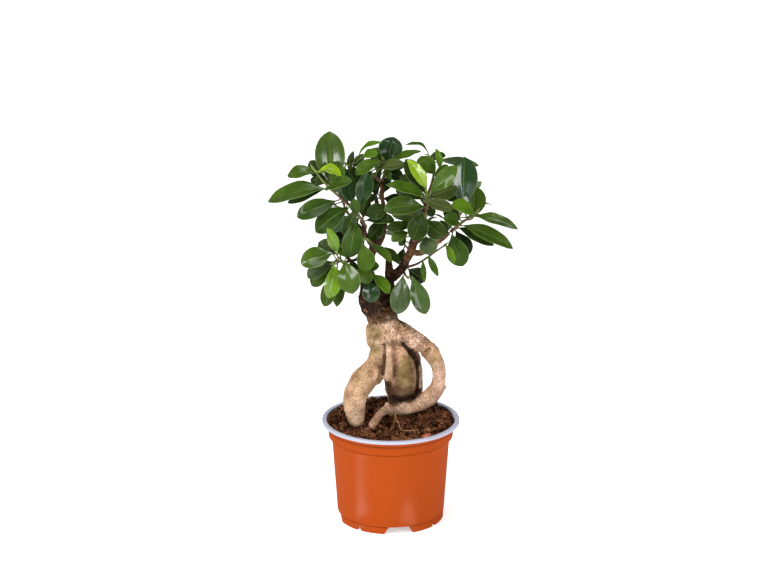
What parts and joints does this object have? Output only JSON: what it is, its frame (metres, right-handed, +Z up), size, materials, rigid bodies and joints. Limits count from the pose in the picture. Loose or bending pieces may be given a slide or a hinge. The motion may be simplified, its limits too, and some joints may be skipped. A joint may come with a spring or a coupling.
{
  "type": "potted bonsai plant",
  "caption": "Ficus bonsai with swollen aerial roots and glossy leafy stems, growing in soil in a round tapered plastic nursery pot with a wide flat rim.",
  "frame": {"origin": "on the ground under the middle of the pot", "axes": "+Z up, +X to the viewer's right, -Y towards the viewer"},
  "size_m": [0.2112, 0.12, 0.3464],
  "materials": {
    "plastic": "satin terracotta orange, moulded",
    "peat": "loose dark brown coir and peat fibres",
    "bark": "pale freckled bark",
    "leaf": "glossy leathery leaves"
  },
  "bodies": {
    "root": {"pot": "plastic", "soil": "peat", "trunk": "bark", "leafy_stem_back_left": "leaf", "leafy_stem_back_low_right": "leaf", "leafy_stem_back_right": "leaf", "leafy_stem_back_top": "leaf", "leafy_stem_back_upper_left": "leaf", "leafy_stem_back_upper_right": "leaf", "leafy_stem_behind_fork": "leaf", "leafy_stem_centre": "leaf", "leafy_stem_centre_below": "leaf", "leafy_stem_inner": "leaf", "leafy_stem_left_low": "leaf", "leafy_stem_left_middle": "leaf", "leafy_stem_left_of_centre": "leaf", "leafy_stem_right": "leaf", "leafy_stem_right_below": "leaf", "leafy_stem_right_of_centre": "leaf", "leafy_stem_right_twig": "leaf", "leafy_stem_top": "leaf", "leafy_stem_top_left": "leaf", "leafy_stem_top_right": "leaf", "leafy_stem_upper_left": "leaf", "leafy_stem_upper_right": "leaf"}
  },
  "joints": []
}
